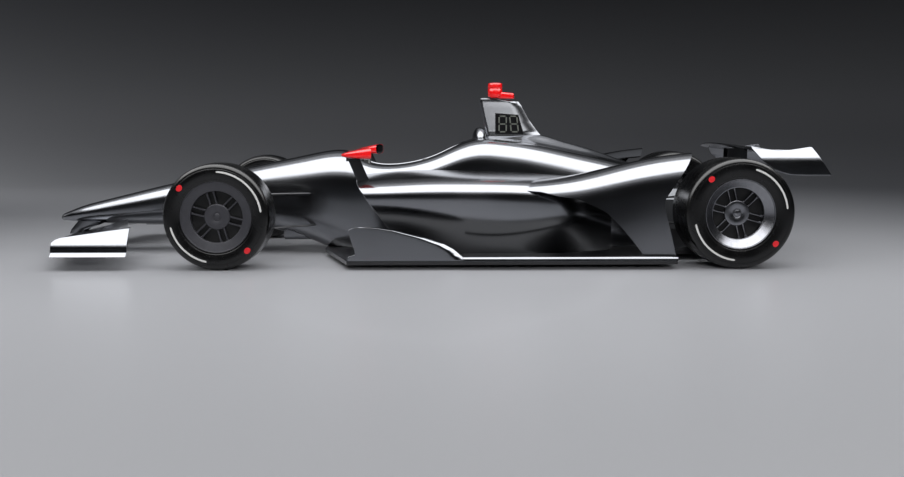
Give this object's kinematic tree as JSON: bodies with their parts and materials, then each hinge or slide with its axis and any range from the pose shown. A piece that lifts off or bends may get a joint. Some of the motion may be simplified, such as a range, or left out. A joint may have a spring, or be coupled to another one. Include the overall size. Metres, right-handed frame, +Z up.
{
  "type": "open wheel racing car",
  "caption": "Open wheel racing car: slender nose, swept front wing, hollow cockpit, tall fin, sculpted sidepods, rear wheel ramps, thin rear wing, and slick-shod wheels that roll and steer.",
  "frame": {"origin": "on the ground, under the middle of the car's length and width", "axes": "+X to the nose, +Y to the car's left, +Z up"},
  "size_m": [4.985, 1.94, 1.124],
  "materials": {
    "bodywork": "dark mirror-polished bodywork lacquer",
    "carbon": "glossy black carbon laminate",
    "tyre": "slick racing tyre rubber",
    "wheel_dark": "satin black forged wheel",
    "wheel_bright": "polished forged wheel",
    "brake": "machined brake disc and bell",
    "alloy": "machined alloy uprights and casings",
    "red": "red gloss lacquer",
    "mirror_glass": "mirror glass",
    "display": "unlit display panel",
    "engine": "cast engine block",
    "padding": "dark flame-proof cockpit padding",
    "grip": "moulded grip rubber"
  },
  "bodies": {
    "chassis": {"nose_cone": "bodywork", "tub": "bodywork", "engine_cover": "bodywork", "sidepod_left": "bodywork", "sidepod_right": "bodywork", "wheel_ramp_left": "bodywork", "wheel_ramp_right": "bodywork", "roll_hoop_fin": "bodywork", "floor_fences": "bodywork", "front_wing_plane": "bodywork", "front_wing_flaps": "bodywork", "front_wing_endplates": "bodywork", "front_wing_pylons": "bodywork", "rear_wing_plane": "bodywork", "rear_wing_endplates": "bodywork", "rear_wing_pylons": "carbon", "floor": "carbon", "mirror_pods": "red", "mirror_stalks": "carbon", "mirror_glasses": "mirror_glass", "camera_pod": "red", "number_panels": "display", "engine_block": "engine", "gearbox": "alloy", "rear_crash_structure": "carbon", "seat": "carbon", "headrest": "padding", "dashboard": "carbon", "front_suspension_left": "carbon", "front_suspension_right": "carbon", "rear_suspension_left": "carbon", "rear_suspension_right": "carbon", "rear_uprights": "alloy"},
    "left_steered_upright": {"front_left_knuckle": "alloy"},
    "right_steered_upright": {"front_right_knuckle": "alloy"},
    "front_left_rolling": {"front_left_tyre": "tyre", "front_left_wheel": "wheel_dark", "front_left_brake_disc": "brake"},
    "front_right_rolling": {"front_right_tyre": "tyre", "front_right_wheel": "wheel_dark", "front_right_brake_disc": "brake"},
    "rear_left_rolling": {"rear_left_tyre": "tyre", "rear_left_wheel": "wheel_bright", "rear_left_brake_disc": "brake"},
    "rear_right_rolling": {"rear_right_tyre": "tyre", "rear_right_wheel": "wheel_bright", "rear_right_brake_disc": "brake"},
    "rack": {"steering_rack": "alloy"},
    "column": {"steering_wheel": "grip"}
  },
  "joints": [
    {"name": "steer_left", "type": "hinge", "parent": "chassis", "child": "left_steered_upright", "pos_m": [1.2525, 0.72, 0.3117], "axis": [0, 0, 1], "range_deg": [-16, 16]},
    {"name": "steer_right", "type": "hinge", "parent": "chassis", "child": "right_steered_upright", "pos_m": [1.2525, -0.72, 0.3117], "axis": [0, 0, 1], "range_deg": [-16, 16]},
    {"name": "rack_travel", "type": "slide", "parent": "chassis", "child": "rack", "axis": [0, 1, 0], "range_m": [-0.032, 0.032]},
    {"name": "steering_wheel_turn", "type": "hinge", "parent": "chassis", "child": "column", "pos_m": [0.4375, 0, 0.56], "axis": [-1, 0, 0], "range_deg": [-150, 150]},
    {"name": "front_left_roll", "type": "hinge", "parent": "left_steered_upright", "child": "front_left_rolling", "pos_m": [1.2525, 0.83, 0.3117], "axis": [0, 1, 0], "continuous": true},
    {"name": "rear_left_roll", "type": "hinge", "parent": "chassis", "child": "rear_left_rolling", "pos_m": [-1.7975, 0.79, 0.3259], "axis": [0, 1, 0], "continuous": true},
    {"name": "front_right_roll", "type": "hinge", "parent": "right_steered_upright", "child": "front_right_rolling", "pos_m": [1.2525, -0.83, 0.3117], "axis": [0, 1, 0], "continuous": true},
    {"name": "rear_right_roll", "type": "hinge", "parent": "chassis", "child": "rear_right_rolling", "pos_m": [-1.7975, -0.79, 0.3259], "axis": [0, 1, 0], "continuous": true}
  ],
  "couplings": [
    {"joint": "steer_right", "follows": "steer_left", "ratio": 1},
    {"joint": "rack_travel", "follows": "steer_left", "m_per_rad": 0.11},
    {"joint": "steering_wheel_turn", "follows": "steer_left", "ratio": 9}
  ]
}
